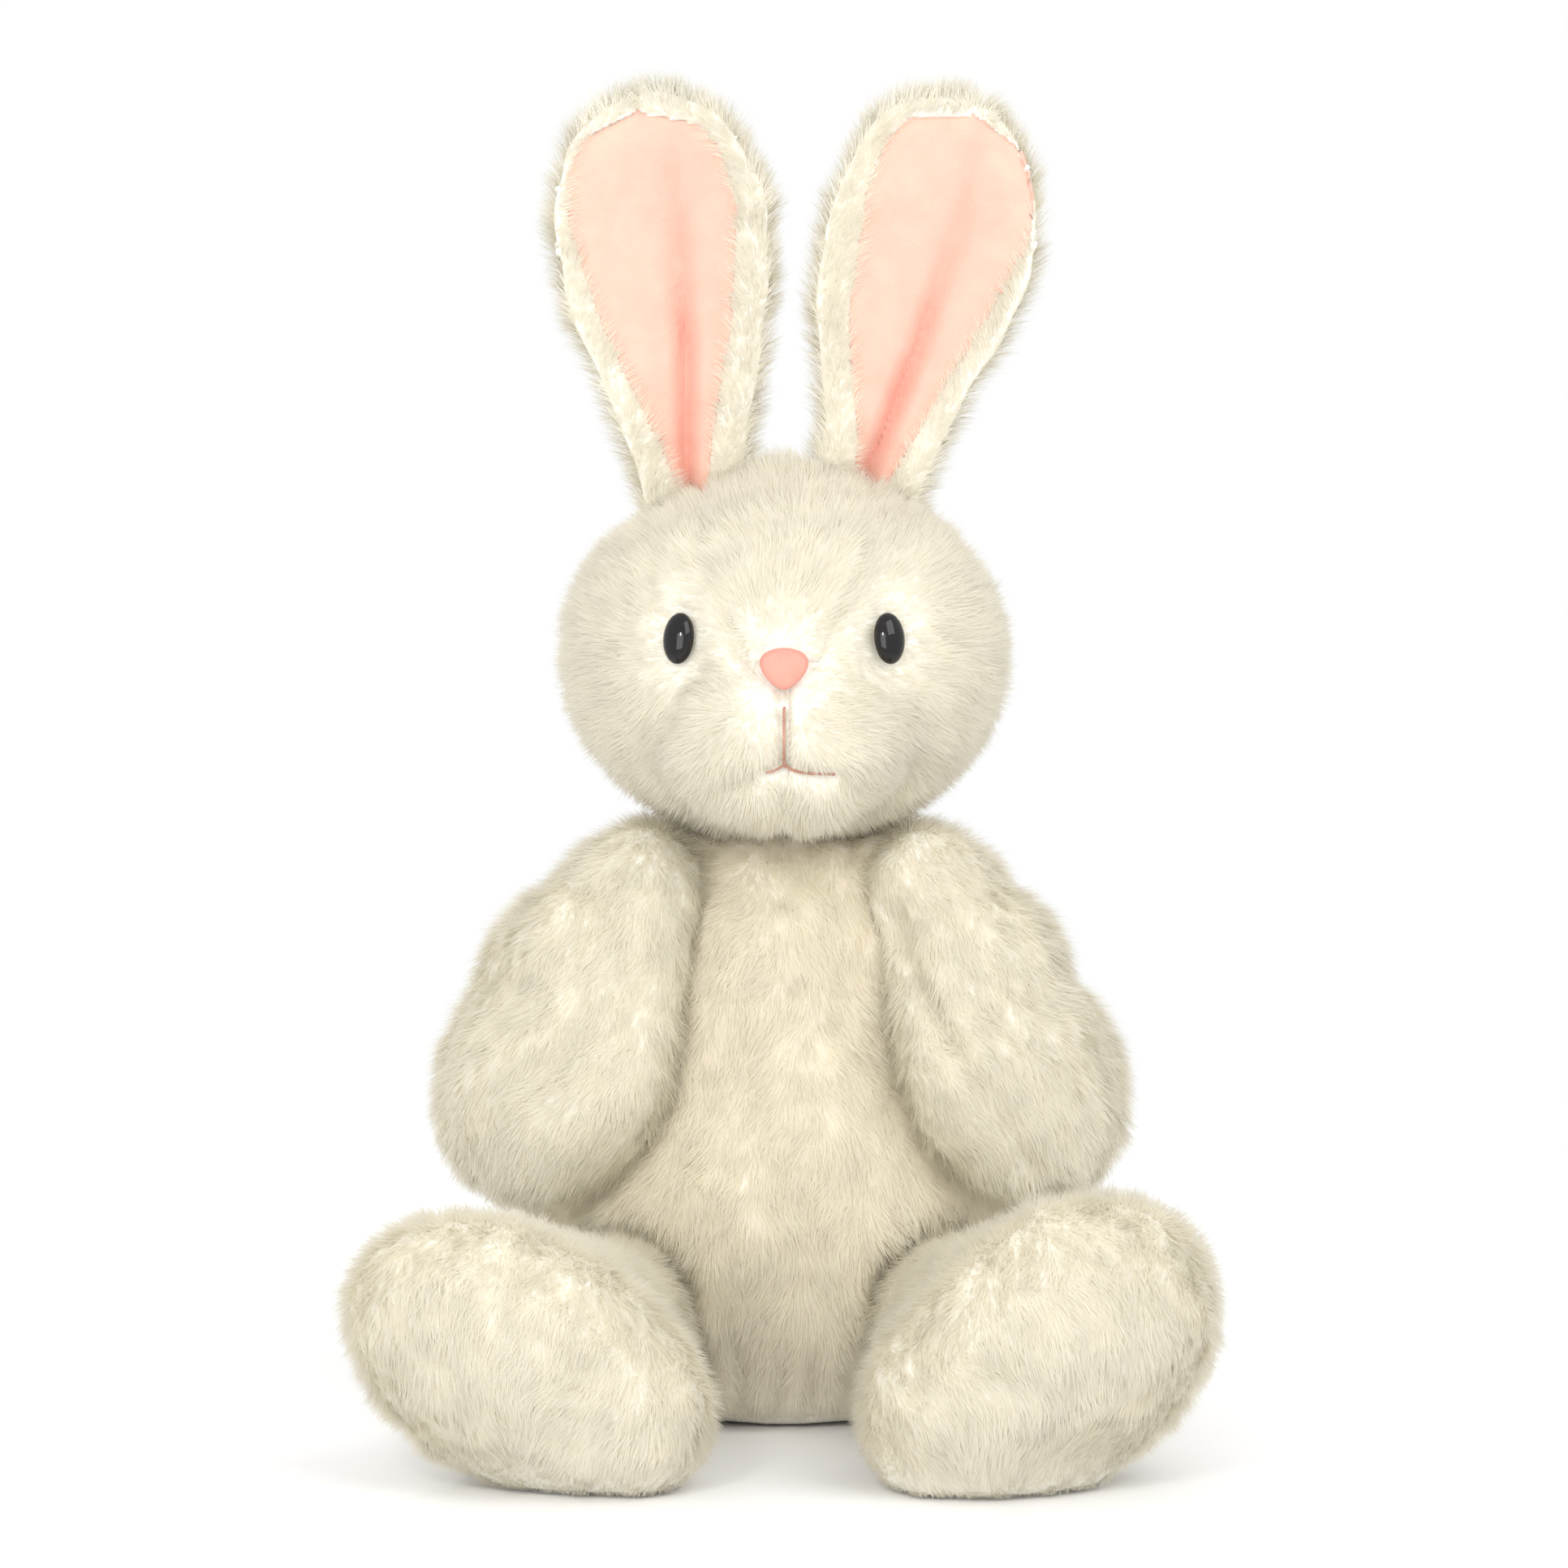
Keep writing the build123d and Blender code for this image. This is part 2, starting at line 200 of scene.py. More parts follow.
def pile_materials(name, colour):
    """Four tints of one fur, from the shaded to the bright. Some light passes through each strand."""
    made = []
    for number, level in enumerate((0.95, 0.985, 1.0, 1.02)):
        tint = [min(0.97, c * level) for c in colour]
        material, tree, shader = new_material(f"{name}_tint_{number}", tint, 0.85, 0.1, 0.2)
        through = tree.nodes.new("ShaderNodeBsdfTranslucent")
        through.inputs["Color"].default_value = (*tint, 1)
        mix = tree.nodes.new("ShaderNodeMixShader")
        mix.inputs[0].default_value = LIGHT_THROUGH
        output = next(n for n in tree.nodes if n.type == "OUTPUT_MATERIAL")
        tree.links.new(shader.outputs[0], mix.inputs[1])
        tree.links.new(through.outputs[0], mix.inputs[2])
        tree.links.new(mix.outputs[0], output.inputs["Surface"])
        made.append(material)
    return made


def backing(name, light, deep):
    """A matte, faintly mottled cloth with a fine tooth."""
    material, tree, shader = new_material(name, light, 0.95)
    spot = mottled(tree, shader, (deep, light), 220)[0]
    nap(tree, shader, spot, 1600, 0.5, 0.4 * MM)
    return material


def velour(name, light, deep, painted_shade):
    """Short cut pile: mottled, with a soft sheen, and deeper in colour where the fold attribute says: painted
    shade in creases and at rims.
    """
    material, tree, shader = new_material(name, light, 0.85, 0.35, 0.2)
    spot, ramp = mottled(tree, shader, (deep, light), 130, 5)
    # painted shade: the fold attribute mixes the colour towards the deeper painted_shade colour
    fold = tree.nodes.new("ShaderNodeAttribute")
    fold.attribute_name = "fold"
    mix = tree.nodes.new("ShaderNodeMix")
    mix.data_type = "RGBA"
    for socket in mix.inputs:
        if socket.identifier == "B_Color":
            socket.default_value = (*painted_shade, 1)
        elif socket.identifier == "A_Color":
            tree.links.new(ramp.outputs["Color"], socket)
        elif socket.identifier == "Factor_Float":
            tree.links.new(fold.outputs["Fac"], socket)
    result = next(socket for socket in mix.outputs if socket.identifier == "Result_Color")
    tree.links.new(result, shader.inputs["Base Color"])
    nap(tree, shader, spot, 1500, 0.6, 0.35 * MM)
    return material


def plain_weave(name, light, deep):
    """Smooth cloth with the fine ribs of its threads."""
    material, tree, shader = new_material(name, light, 0.8)
    spot = mottled(tree, shader, (deep, light), 90)[0]
    wave = tree.nodes.new("ShaderNodeTexWave")
    wave.inputs["Scale"].default_value = 420
    wave.inputs["Distortion"].default_value = 1.5
    bump = tree.nodes.new("ShaderNodeBump")
    bump.inputs["Strength"].default_value = 0.4
    bump.inputs["Distance"].default_value = 0.2 * MM
    tree.links.new(spot.outputs["Object"], wave.inputs["Vector"])
    tree.links.new(wave.outputs["Fac"], bump.inputs["Height"])
    tree.links.new(bump.outputs["Normal"], shader.inputs["Normal"])
    return material


def eye_plastic():
    """Glossy black plastic under a thin clear coat."""
    material, tree, shader = new_material("black_eye_plastic", (0.006, 0.005, 0.005), 0.06, 0, 0.35)
    mottled(tree, shader, ((0.005, 0.004, 0.004), (0.010, 0.008, 0.008)), 60)
    shader.inputs["Coat Weight"].default_value = 0.2
    shader.inputs["Coat Roughness"].default_value = 0.03
    return material


CREAM = (0.95, 0.918, 0.82)
BELLY = (0.965, 0.925, 0.81)
CREAM_PILE = pile_materials("cream_pile", CREAM)
BELLY_PILE = pile_materials("belly_pile", BELLY)
CREAM_BACKING = backing("cream_backing", (0.92, 0.90, 0.83), (0.86, 0.83, 0.75))
BELLY_BACKING = backing("belly_backing", (0.93, 0.87, 0.79), (0.88, 0.81, 0.72))
# the third colour of each velour is painted shade, for the ear lining's creases and the nose pad's rim
EAR_VELOUR = velour("ear_velour", (0.85, 0.55, 0.44), (0.835, 0.505, 0.40), (0.77, 0.32, 0.25))
NOSE_VELOUR = velour("nose_velour", (0.80, 0.37, 0.29), (0.75, 0.32, 0.25), (0.70, 0.26, 0.20))
BASE_CLOTH = plain_weave("base_cloth", (0.90, 0.86, 0.78), (0.82, 0.78, 0.69))
FIBRE = backing("fibre_filling", (0.92, 0.92, 0.90), (0.82, 0.82, 0.80))
THREAD = backing("mouth_thread", (0.60, 0.34, 0.26), (0.46, 0.24, 0.18))
WASHER = backing("washer_plastic", (0.80, 0.80, 0.78), (0.72, 0.72, 0.70))
EYE_PLASTIC = eye_plastic()


# ------------------------------------------------------------------ meshes as arrays
def mesh_arrays(mesh):
    """Points, point normals and triangles."""
    mesh.calc_loop_triangles()
    points = np.zeros(len(mesh.vertices) * 3)
    mesh.vertices.foreach_get("co", points)
    normals = np.zeros(len(mesh.vertices) * 3)
    mesh.vertices.foreach_get("normal", normals)
    triangles = np.zeros(len(mesh.loop_triangles) * 3, int)
    mesh.loop_triangles.foreach_get("vertices", triangles)
    return points.reshape(-1, 3), normals.reshape(-1, 3), triangles.reshape(-1, 3)


def set_points(mesh, points):
    mesh.vertices.foreach_set("co", points.astype(np.float32).ravel())
    mesh.update()


def add_object(name, mesh):
    piece = bpy.data.objects.new(name, mesh)
    bpy.context.scene.collection.objects.link(piece)
    return piece


def evaluated_mesh(piece):
    """The piece's mesh with its modifiers applied."""
    bpy.context.view_layer.update()
    graph = bpy.context.evaluated_depsgraph_get()
    return bpy.data.meshes.new_from_object(piece.evaluated_get(graph), depsgraph=graph)


def apply_modifiers(piece):
    mesh = evaluated_mesh(piece)
    piece.modifiers.clear()
    piece.data = mesh
    return mesh


def mesh_from(name, points, faces):
    mesh = bpy.data.meshes.new(name)
    mesh.from_pydata(points, [], faces)
    mesh.update()
    return mesh


def joined_nodes(name, nodes, balls=()):
    """One mesh from several of the frame's nodes, with balls of filling added."""
    joined = bmesh.new()
    for node in nodes:
        joined.from_mesh(frame["nodes"][node].data)
    for centre, radius in balls:
        bmesh.ops.create_icosphere(joined, subdivisions=4, radius=radius, matrix=Matrix.Translation(centre))
    mesh = bpy.data.meshes.new(name)
    joined.to_mesh(mesh)
    joined.free()
    return mesh


def keep_largest_shell(mesh):
    """Removes the small closed shells that a remesh leaves in gaps."""
    work = bmesh.new()
    work.from_mesh(mesh)
    unseen, shells = set(work.verts), []
    while unseen:
        queue, shell = [unseen.pop()], []
        while queue:
            vertex = queue.pop()
            shell.append(vertex)
            for edge in vertex.link_edges:
                other = edge.other_vert(vertex)
                if other in unseen:
                    unseen.remove(other)
                    queue.append(other)
        shells.append(shell)
    shells.sort(key=len)
    bmesh.ops.delete(work, geom=[v for shell in shells[:-1] for v in shell], context="VERTS")
    work.to_mesh(mesh)
    work.free()


def remeshed(name, nodes, voxel, smoothing, balls=()):
    piece = add_object(name, joined_nodes(name, nodes, balls))
    remesh = piece.modifiers.new("voxels", "REMESH")
    remesh.mode = "VOXEL"
    remesh.voxel_size = voxel
    keep_largest_shell(apply_modifiers(piece))
    smooth = piece.modifiers.new("smooth", "SMOOTH")
    smooth.factor = 0.5
    smooth.iterations = smoothing
    apply_modifiers(piece)
    return piece


NODE_TREES = {}


def distance_to(node, points):
    """How far each point is from one of the frame's nodes."""
    if node not in NODE_TREES:
        corners, _, triangles = mesh_arrays(frame["nodes"][node].data)
        NODE_TREES[node] = BVHTree.FromPolygons(corners.tolist(), triangles.tolist())
    find = NODE_TREES[node].find_nearest
    return np.array([find(point)[3] for point in points.tolist()])


def swell(piece, held, pressure, cap):
    """Fills the form like a stuffed bag whose seams hold: cloth under pressure, without gravity."""
    before = mesh_arrays(piece.data)[0]
    group = piece.vertex_groups.new(name="seams")
    group.add(np.flatnonzero(held).tolist(), 1.0, "REPLACE")
    cloth = piece.modifiers.new("stuffing", "CLOTH")
    settings = cloth.settings
    settings.quality = 5
    settings.mass = 0.15
    settings.tension_stiffness = 12
    settings.compression_stiffness = 12
    settings.shear_stiffness = 4
    settings.bending_stiffness = 0.4
    settings.use_pressure = True
    settings.uniform_pressure_force = pressure
    settings.vertex_group_mass = "seams"
    settings.effector_weights.gravity = 0
    cloth.collision_settings.use_collision = False
    cloth.point_cache.frame_start = 1
    cloth.point_cache.frame_end = SWELL_FRAMES
    for number in range(1, SWELL_FRAMES + 1):
        bpy.context.scene.frame_set(number)
    after = mesh_arrays(evaluated_mesh(piece))[0]
    piece.modifiers.clear()
    piece.vertex_groups.clear()
    bpy.context.scene.frame_set(1)
    move = after - before
    length = np.linalg.norm(move, axis=1, keepdims=True)
    print("swell", piece.name, "most", round(float(length.max()) / MM, 2), "mm")
    set_points(piece.data, before + move * np.minimum(1, cap / np.maximum(length, 1e-9)))


class Form:
    """A stuffed body: its cloth surface, and for each point the nearest panel and how far its seam is.

    bare names the panels without pile, touching the neighbours' nodes, and balls the extra filling. A negative
    seam_depth makes a ridge. sculpt moves the points, and assign gives the panels by a rule of its own.
    """

    def __init__(self, name, body, panels, filling, voxel=3.2 * MM, smoothing=6, room=PILE_ROOM,
                 pressure=2.5, cap=3 * MM, sculpt=None, bare=(), seam_depth=1.0 * MM, balls=(), touching=(),
                 assign=None, lowest=FLOOR_CLEARANCE):
        self.name, self.body, self.panels = name, body, list(panels)
        piece = remeshed(f"{name}_form", list(panels) + list(filling), voxel, smoothing, balls)
        points, normals, _ = mesh_arrays(piece.data)
        near = np.stack([distance_to(panel, points) for panel in self.panels])
        inset = np.where(np.isin(near.argmin(0), [self.panels.index(b) for b in bare]), 0.4 * MM, room)
        if touching:
            gap = np.min([distance_to(node, points) for node in touching], axis=0)
            inset = np.minimum(inset, 0.3 * MM + room * smooth_step(gap, 1.0 * MM, TOUCH_REACH))
        set_points(piece.data, points - normals * inset[:, None])
        if pressure:
            order = np.sort(near, axis=0)
            swell(piece, order[min(1, len(order) - 1)] < SEAM_HELD, pressure, cap)
        subdivide = piece.modifiers.new("smooth surface", "SUBSURF")
        subdivide.levels = 1
        apply_modifiers(piece)
        points, normals, _ = mesh_arrays(piece.data)
        outer = points + normals * room
        near = np.stack([distance_to(panel, outer) for panel in self.panels])
        self.nearest = near.argmin(0)
        order = np.sort(near, axis=0)
        self.seam = order[1] - order[0] if len(order) > 1 else np.full(len(points), 1.0)
        if assign:
            self.nearest, self.seam = assign(points, normals)
        points = points - normals * (seam_depth * hump(self.seam, SEAM_WIDTH))[:, None]
        if sculpt:
            points = sculpt(self, points, normals)
        points[:, 2] = np.maximum(points[:, 2], lowest)
        set_points(piece.data, points)
        self.points, self.normals, self.triangles = mesh_arrays(piece.data)
        self.piece = piece

    def panel_of(self, corners):
        """The panel that most of a face's corners are nearest to, the first of two if they tie."""
        votes = [(self.nearest[corners] == number).sum(-1) for number in range(len(self.panels))]
        return np.argmax(votes, axis=0)

    def of_panel(self, panel):
        """The triangles that belong to a panel."""
        return self.triangles[self.panel_of(self.triangles) == self.panels.index(panel)]


# ------------------------------------------------------------------ pieces that a form gives
def place(piece, form):
    """Rides on the form's body. Where the form's cloth crosses a joint, the piece is left on no body, with its
    transform baked into its mesh.
    """
    bend = BENDS.get(form.body)
    if bend:
        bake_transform(piece)
    else:
        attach(piece, form.body)


def filling_piece(form, node, replaced=()):
    """The stuffing, as one closed form just under the cloth."""
    mesh = form.piece.data.copy()
    set_points(mesh, form.points - form.normals * (CLOTH_THICKNESS + FILLING_GAP))
    piece = add_object(f"{node}_padding", mesh)
    finish_piece(piece, [FIBRE])
    place(piece, form)
    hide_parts(node, *replaced)


def finish_piece(piece, materials):
    """Gives the piece its materials and smooth shading."""
    piece.data.materials.clear()
    for material in materials:
        piece.data.materials.append(material)
    piece.data.polygons.foreach_set("use_smooth", np.ones(len(piece.data.polygons), bool))
    piece.data.update()


def cloth_piece(form, panel, material):
    """The panel's cloth, cut from the form along its seams and given its thickness."""
    mine = form.panels.index(panel)
    work = bmesh.new()
    work.from_mesh(form.piece.data)
    others = [f for f in work.faces if form.panel_of(np.array([v.index for v in f.verts])) != mine]
    bmesh.ops.delete(work, geom=others, context="FACES")
    mesh = bpy.data.meshes.new(f"{panel}_cloth")
    work.to_mesh(mesh)
    work.free()
    piece = add_object(f"{panel}_cloth", mesh)
    shell = piece.modifiers.new("thickness", "SOLIDIFY")
    shell.thickness = CLOTH_THICKNESS
    shell.offset = -1
    apply_modifiers(piece)
    finish_piece(piece, [material])
    place(piece, form)
    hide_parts(panel)
    return piece


def pile_piece(form, panel, materials, comb, seed, length=PILE_LENGTH, density=PILE_DENSITY,
               lean=PILE_LEAN, thin=None, width=PILE_WIDTH):
    """The panel's pile: tapered strands with real geometry, combed, clumped and laid like shingles.

    comb gives the way that the pile runs at each point. thin gives, at each root, what share of the strands
    and of their length stays, as near an eye or where the pile is pressed on the floor.
    """
    rng = np.random.default_rng(seed)
    triangles = form.of_panel(panel)
    corners = form.points[triangles]
    area = np.linalg.norm(np.cross(corners[:, 1] - corners[:, 0], corners[:, 2] - corners[:, 0]), axis=1) / 2
    count = int(area.sum() * density * (1))
    pick = rng.choice(len(triangles), count, p=area / area.sum())
    share = rng.dirichlet((1, 1, 1), count)[:, :, None]
    root = (corners[pick] * share).sum(1)
    normal = unit((form.normals[triangles[pick]] * share).sum(1))
    seam = (form.seam[triangles[pick]] * share[:, :, 0]).sum(1)
    amount = np.ones(count)
    scale = rng.uniform(0.72, 1.0, count)
    if thin:
        keep, shorter = thin(root, normal, seam)
        amount, scale = amount * keep, scale * shorter
    kept = rng.uniform(size=count) < amount
    root, normal, scale, seam = root[kept], normal[kept], scale[kept], seam[kept]
    count = len(root)

    flow = tangent(comb(root), normal)
    across = np.cross(normal, flow)
    turn = PILE_SWAY_WIDE * noise(root, 30 * MM, seed + 1) + PILE_SWAY_FINE * noise(root, 9 * MM, seed + 2)
    turn = turn + rng.normal(0, PILE_SWAY_EACH, count)
    flow = flow * np.cos(turn)[:, None] + across * np.sin(turn)[:, None]
    angle = lean + 4 * noise(root, 14 * MM, seed + 3) + rng.normal(0, PILE_LEAN_SPREAD, count)
    angle = np.radians(angle)[:, None]
    start = root - normal * ROOT_DEPTH
    tip = start + (normal * np.cos(angle) + flow * np.sin(angle)) * (length * scale)[:, None]
    gather = to_clump(root, CLUMP_SIZE, seed + 4) * rng.uniform(0.0, 0.5, count)[:, None]
    tip = tip + gather * (length / PILE_LENGTH)

    along = unit(tip - start)
    roll = rng.normal(0, PILE_ROLL, count)[:, None]
    flat = unit(np.cross(along, normal))
    edge = flat * np.cos(roll) + np.cross(along, flat) * np.sin(roll)
    half = (width * rng.uniform(0.4, 0.62, count))[:, None]
    strand = np.stack([start - edge * half, start + edge * half, tip], axis=1)
    floor = FLOOR_CLEARANCE + rng.uniform(0, PRESSED_LAYER, count)
    strand[:, :, 2] = np.maximum(strand[:, :, 2], floor[:, None])
    face = unit(np.cross(edge, along))
    shade = unit(normal * SOFT_SHADE + face * (1 - SOFT_SHADE))
    tint = np.clip(1.7 + 0.7 * noise(root, 9 * MM, seed + 5) + rng.normal(0, 0.8, count), 0, 3.49).astype(int)
    piece = strand_object(f"{panel}_pile", strand, shade, tint, materials)
    place(piece, form)
    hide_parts(panel)
    return piece


def strand_object(name, strand, shade, tint, materials):
    """A mesh of strands, a long triangle each, shaded with the direction given for each."""
    count = len(strand)
    mesh = bpy.data.meshes.new(name)
    mesh.vertices.add(count * 3)
    mesh.vertices.foreach_set("co", strand.astype(np.float32).ravel())
    mesh.loops.add(count * 3)
    mesh.loops.foreach_set("vertex_index", np.arange(count * 3, dtype=np.int32))
    mesh.polygons.add(count)
    mesh.polygons.foreach_set("loop_start", np.arange(count, dtype=np.int32) * 3)
    mesh.polygons.foreach_set("material_index", tint.astype(np.int32))
    mesh.update(calc_edges=True)
    for material in materials:
        mesh.materials.append(material)
    mesh.polygons.foreach_set("use_smooth", np.ones(count, bool))
    mesh.normals_split_custom_set_from_vertices(np.repeat(shade, 3, axis=0).astype(np.float32))
    mesh.update()
    return add_object(name, mesh)


# ------------------------------------------------------------------ where cloth bends with a joint
BENDS = {}
for side in SIDES:
    fold = JOINTS[f"ear_{side}_fold"]
    base = Vector(fold["pos_m"])
    up = (Vector(middle(f"ear_{side}_lining")) - base).normalized()
    BENDS[f"ear_{side}"] = ("head", f"ear_{side}", base - up * 2 * MM, base + up * 22 * MM)


# ------------------------------------------------------------------ torso
PUCKERS = [(-12.5, 3.4), (0.5, 2.6), (8.5, 3.0), (-22, 1.8), (18, 2.0)]  # across and depth, millimetres


def puckers(form, points, normals):
    """Short gathers above the base at the front, where the belly is sewn to the flat base."""
    front = smooth_step(-normals[:, 1], 0.2, 0.7)
    low = smooth_step(points[:, 2], 3 * MM, 8 * MM) * (1 - smooth_step(points[:, 2], 16 * MM, 34 * MM))
    depth = np.zeros(len(points))
    for x, size in PUCKERS:
        drift = x * MM + 0.12 * (points[:, 2] - 20 * MM) * np.sign(x)
        depth += size * MM * hump(points[:, 0] - drift, 2.6 * MM)
    points = points - normals * (depth * front * low)[:, None]
    swells = 0.7 * noise(points, 45 * MM, 5) + 0.2 * noise(points, 16 * MM, 6)
    return points + normals * (swells * MM * smooth_step(points[:, 2], 6 * MM, 20 * MM))[:, None]


def downwards(points):
    """Pile that runs down and spreads a little to the sides."""
    way = np.zeros_like(points)
    way[:, 2] = -1
    way[:, 0] = 3 * points[:, 0]
    return way


def above_floor(root, normal, seam):
    """Pile is short near the base, and gone from what faces the floor."""
    keep = smooth_step(root[:, 2], 1.5 * MM, 5 * MM)
    short = 0.3 + 0.7 * smooth_step(root[:, 2], 2 * MM, 16 * MM)
    return keep, short


def pressed_below(root, normal, seam):
    """Pile is short where the foot lies on the floor."""
    return np.ones(len(root)), 0.4 + 0.6 * smooth_step(root[:, 2], 2 * MM, 16 * MM)


BACKS = ["back_panel_right", "back_panel_left"]
LIMB_NODES = [f"{node}_{side}_{part}" for side in SIDES
              for node, part in (("arm", "front"), ("arm", "back"), ("leg", "inner"), ("leg", "outer"))]
HIP_FILL = 21 * MM  # radius of the ball that fills the torso out to each hip
SHOULDER_BACK_FILL = 16 * MM  # the same behind each shoulder


def torso_balls():
    """Filling that carries the torso out under the hips and shoulders, so that no gap shows there."""
    balls = []
    for side, s in SIDES.items():
        balls.append((Vector(JOINTS[f"leg_{side}_lift"]["pos_m"]), HIP_FILL))
        shoulder = Vector(JOINTS[f"arm_{side}_lift"]["pos_m"])
        balls.append((shoulder + Vector((-s * 9, 14, 4)) * MM, SHOULDER_BACK_FILL))
    return balls


def make_torso():
    torso = Form("torso", "torso", ["belly_panel", *BACKS, "base_panel"], ["torso_stuffing", "pellet_pouch"],
                 voxel=3.6 * MM, sculpt=puckers, bare=["base_panel"], balls=torso_balls(), touching=LIMB_NODES)
    filling_piece(torso, "torso_stuffing", ["pellet_pouch"])
    cloth_piece(torso, "belly_panel", BELLY_BACKING)
    pile_piece(torso, "belly_panel", BELLY_PILE, downwards, 100, thin=above_floor)
    for number, panel in enumerate(BACKS):
        cloth_piece(torso, panel, CREAM_BACKING)
        pile_piece(torso, panel, CREAM_PILE, downwards, 120 + 10 * number, thin=above_floor)
    cloth_piece(torso, "base_panel", BASE_CLOTH)


def make_tail():
    tail = Form("tail", "torso", ["tail"], ["tail_stuffing"], voxel=2.4 * MM, pressure=0)
    filling_piece(tail, "tail_stuffing")
    cloth_piece(tail, "tail", CREAM_BACKING)
    whorl = middle("tail") + np.array([0, -10, 20]) * MM  # the pile runs away from here, back and down

    def comb(points):
        return points - whorl

    pile_piece(tail, "tail", CREAM_PILE, comb, 150, lean=30, thin=above_floor)


make_torso()
make_tail()

# ------------------------------------------------------------------ head
NOSE = middle("nose_patch")
EYES = {side: middle(f"eye_{side}") for side in SIDES}
MOUTH_FORK = np.array(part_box("mouth_stitching")[0])[2] + 0.8 * MM  # the height where the thread divides
SMILE_DROP = 2.6 * MM
SMILE_REACH = (13.5 * MM, -4.5 * MM)
THREAD_PROUD = 2.0 * MM
THREAD_PLY = 0.27 * MM  # radius of each of its two plies
NOSE_DEPTH = 2.6 * MM
NOSE_PROUD = 1.2 * MM
NOSE_SLOPE = 0.32  # how far the nose leans back with height


def mouth_height(x):
    """The smile drops a little from the fork and runs out level."""
    return MOUTH_FORK - SMILE_DROP * (1 - np.exp(-np.abs(x) / (3.5 * MM)))


def face_shape(form, points, normals):
    """Muzzle pads, sockets round the eyes, the groove under the nose, the smile and the chin."""
    x, z = points[:, 0], points[:, 2]
    front = smooth_step(-normals[:, 1], 0.15, 0.6)
    out = np.zeros(len(points))
    for s in SIDES.values():
        # muzzle pads beside the mouth, the chin's halves, and the crease that bounds each cheek
        pad = np.hypot((x - s * 13 * MM) / 1.15, z - (MOUTH_FORK + 5 * MM))
        out += 2.6 * MM * hump(pad, 12 * MM) * front
        chin = np.hypot(x - s * 7.5 * MM, (z - (MOUTH_FORK - 12 * MM)) / 0.8)
        out += 1.6 * MM * hump(chin, 7 * MM) * front
        ring = np.hypot((x - s * 4 * MM), (z - (NOSE[2] - 22 * MM)) / 1.05)
        edge = hump(ring - 25 * MM, 3.2 * MM) * smooth_step(np.abs(x), 14 * MM, 22 * MM)
        out -= 1.8 * MM * edge * front * (np.sign(x) == s) * (1 if s < 0 else 0.6)
    for eye in EYES.values():
        socket = np.hypot(x - eye[0], (z - eye[2]) / 1.25)
        out -= 2.6 * MM * hump(socket, 8 * MM) * front
    groove = smooth_step(z, MOUTH_FORK - 3 * MM, MOUTH_FORK + 1 * MM)
    groove = groove * (1 - smooth_step(z, NOSE[2] - 8 * MM, NOSE[2]))
    out -= 2.2 * MM * hump(x, 2.4 * MM) * groove * front
    smile = z - mouth_height(x)
    out -= 2.4 * MM * hump(smile, 2.4 * MM) * (1 - smooth_step(np.abs(x), 11 * MM, 17 * MM)) * front
    # a tuft on the crown and a dent in the middle of the chin
    crown = np.hypot(x, points[:, 1] - NOSE[1] - 52 * MM)
    out += 2.6 * MM * hump(crown, 7 * MM) * smooth_step(normals[:, 2], 0.6, 0.9)
    out -= 1.4 * MM * hump(x - 3 * MM, 2.5 * MM) * hump(z - (MOUTH_FORK - 16 * MM), 8 * MM) * front
    # the uneven filling, and cheeks a little fuller than the pattern
    swells = (0.5 * noise(points, 40 * MM, 15) + 0.15 * noise(points, 14 * MM, 16)) * MM
    out += 1.5 * MM * smooth_step(np.abs(normals[:, 0]), 0.4, 1.0)
    return points + normals * (out + swells)[:, None]


def from_nose(points):
    """Pile that runs outwards from behind the nose, and down the back of the head."""
    way = points - NOSE
    way[:, 1] += 10 * MM
    way[:, 2] -= 6 * MM + 150 * MM * smooth_step(points[:, 1] - NOSE[1], 45 * MM, 85 * MM)
    return way


def face_pile(root, normal, seam):
    """Shorter pile round the eyes and nose, parted along the mouth."""
    keep = np.ones(len(root))
    short = np.ones(len(root))
    front = -normal[:, 1] > 0.1
    for eye in EYES.values():
        away = np.hypot(root[:, 0] - eye[0], (root[:, 2] - eye[2]) / 1.5)
        keep = np.where(front, keep * smooth_step(away, 3.0 * MM, 4.4 * MM), keep)
        short = np.where(front, short * (0.45 + 0.55 * smooth_step(away, 4 * MM, 16 * MM)), short)
    pad = np.hypot(root[:, 0] - NOSE[0], (root[:, 2] - NOSE[2]) / 0.78)
    keep = np.where(front, keep * smooth_step(pad, 5.5 * MM, 7.5 * MM), keep)
    short = np.where(front, short * (0.5 + 0.5 * smooth_step(pad, 7 * MM, 24 * MM)), short)
    line = np.abs(root[:, 0])
    below = (root[:, 2] < NOSE[2] - 6 * MM) & (root[:, 2] > MOUTH_FORK - 0.5 * MM) & front
    keep = np.where(below, keep * smooth_step(line, 0.5 * MM, 1.6 * MM), keep)
    short = np.where(below, short * (0.4 + 0.6 * smooth_step(line, 0.5 * MM, 8 * MM)), short)
    smile = np.abs(root[:, 2] - mouth_height(root[:, 0]))
    lips = front & (root[:, 0] > -8 * MM) & (root[:, 0] < 14 * MM)
    keep = np.where(lips, keep * smooth_step(smile, 0.5 * MM, 1.6 * MM), keep)
    short = np.where(lips, short * (0.45 + 0.55 * smooth_step(smile, 0.5 * MM, 8 * MM)), short)
    return keep, short


def make_head():
    """The head's cloth, pile and filling. Gives its form, which the mouth's thread lies on."""
    panels = ["head_side_right", "head_side_left", "forehead_gusset"]
    head = Form("head", "head", panels, ["head_stuffing"], voxel=2.8 * MM, pressure=20, cap=1.5 * MM,
                sculpt=face_shape)
    filling_piece(head, "head_stuffing")
    for number, panel in enumerate(panels):
        cloth_piece(head, panel, CREAM_BACKING)
        pile_piece(head, panel, CREAM_PILE, from_nose, 200 + 10 * number, thin=face_pile)
    return head


